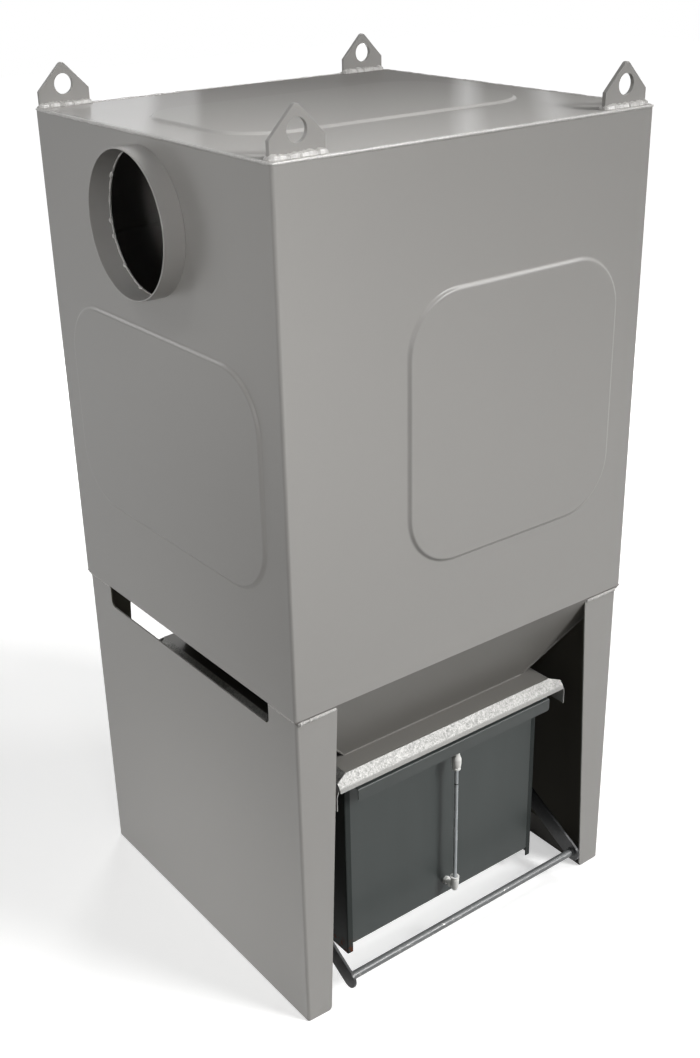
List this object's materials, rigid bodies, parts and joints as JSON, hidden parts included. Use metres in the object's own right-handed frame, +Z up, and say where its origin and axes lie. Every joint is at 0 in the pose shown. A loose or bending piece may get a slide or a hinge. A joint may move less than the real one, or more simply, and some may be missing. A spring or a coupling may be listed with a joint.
{
  "type": "dust pre-separator",
  "caption": "Welded sheet-steel dust pre-separator: a box with side duct spigots and a hopper, on a panel stand over a dust bin that a hand lever lifts and lowers.",
  "frame": {"origin": "middle of the stand on the floor", "axes": "+Z up, -Y towards the bin's front and the lever, -X towards the inlet spigot"},
  "size_m": [0.88, 0.779, 1.685],
  "materials": {
    "body_paint": "satin grey coating",
    "zinc": "galvanised with spangle",
    "bin_paint": "satin dark grey coating",
    "lever_black": "satin black",
    "bright_steel": "turned steel",
    "seal_rubber": "matt sponge rubber",
    "fitting_white": "white plastic",
    "vent_tube": "grey translucent plastic"
  },
  "bodies": {
    "frame": {"front_wall": "body_paint", "back_wall": "body_paint", "left_wall": "body_paint", "right_wall": "body_paint", "roof": "body_paint", "lug_front_left": "body_paint", "lug_front_right": "body_paint", "lug_back_left": "body_paint", "lug_back_right": "body_paint", "inlet_spigot": "body_paint", "outlet_spigot": "body_paint", "hopper_front": "body_paint", "hopper_back": "body_paint", "hopper_left": "body_paint", "hopper_right": "body_paint", "hopper_flange": "body_paint", "left_stand_panel": "body_paint", "right_stand_panel": "body_paint", "seal": "seal_rubber", "guide_front": "zinc", "guide_back": "zinc", "guide_left": "zinc", "guide_right": "zinc", "pivot_left": "bright_steel", "pivot_right": "bright_steel"},
    "lever": {"lever_arm_left": "lever_black", "lever_arm_right": "lever_black", "handle_bar": "lever_black", "lift_stud_left": "bright_steel", "lift_stud_right": "bright_steel"},
    "bin": {"bin_front": "bin_paint", "bin_back": "bin_paint", "bin_left": "bin_paint", "bin_right": "bin_paint", "bin_floor": "bin_paint", "bin_rim_front": "bin_paint", "bin_rim_back": "bin_paint", "bin_rim_left": "bin_paint", "bin_rim_right": "bin_paint", "bin_rail_left": "bin_paint", "bin_rail_right": "bin_paint", "vent_union": "fitting_white", "vent_tube": "vent_tube", "vent_elbow": "fitting_white"}
  },
  "joints": [
    {"name": "lever_swing", "type": "hinge", "parent": "frame", "child": "lever", "pos_m": [0, 0, 0.275], "axis": [-1, 0, 0], "range_deg": [0, 65]},
    {"name": "bin_drop", "type": "slide", "parent": "frame", "child": "bin", "axis": [0, 0, -1], "range_m": [0, 0.038]}
  ],
  "couplings": [
    {"joint": "bin_drop", "follows": "lever_swing", "m_per_rad": 0.03349}
  ]
}
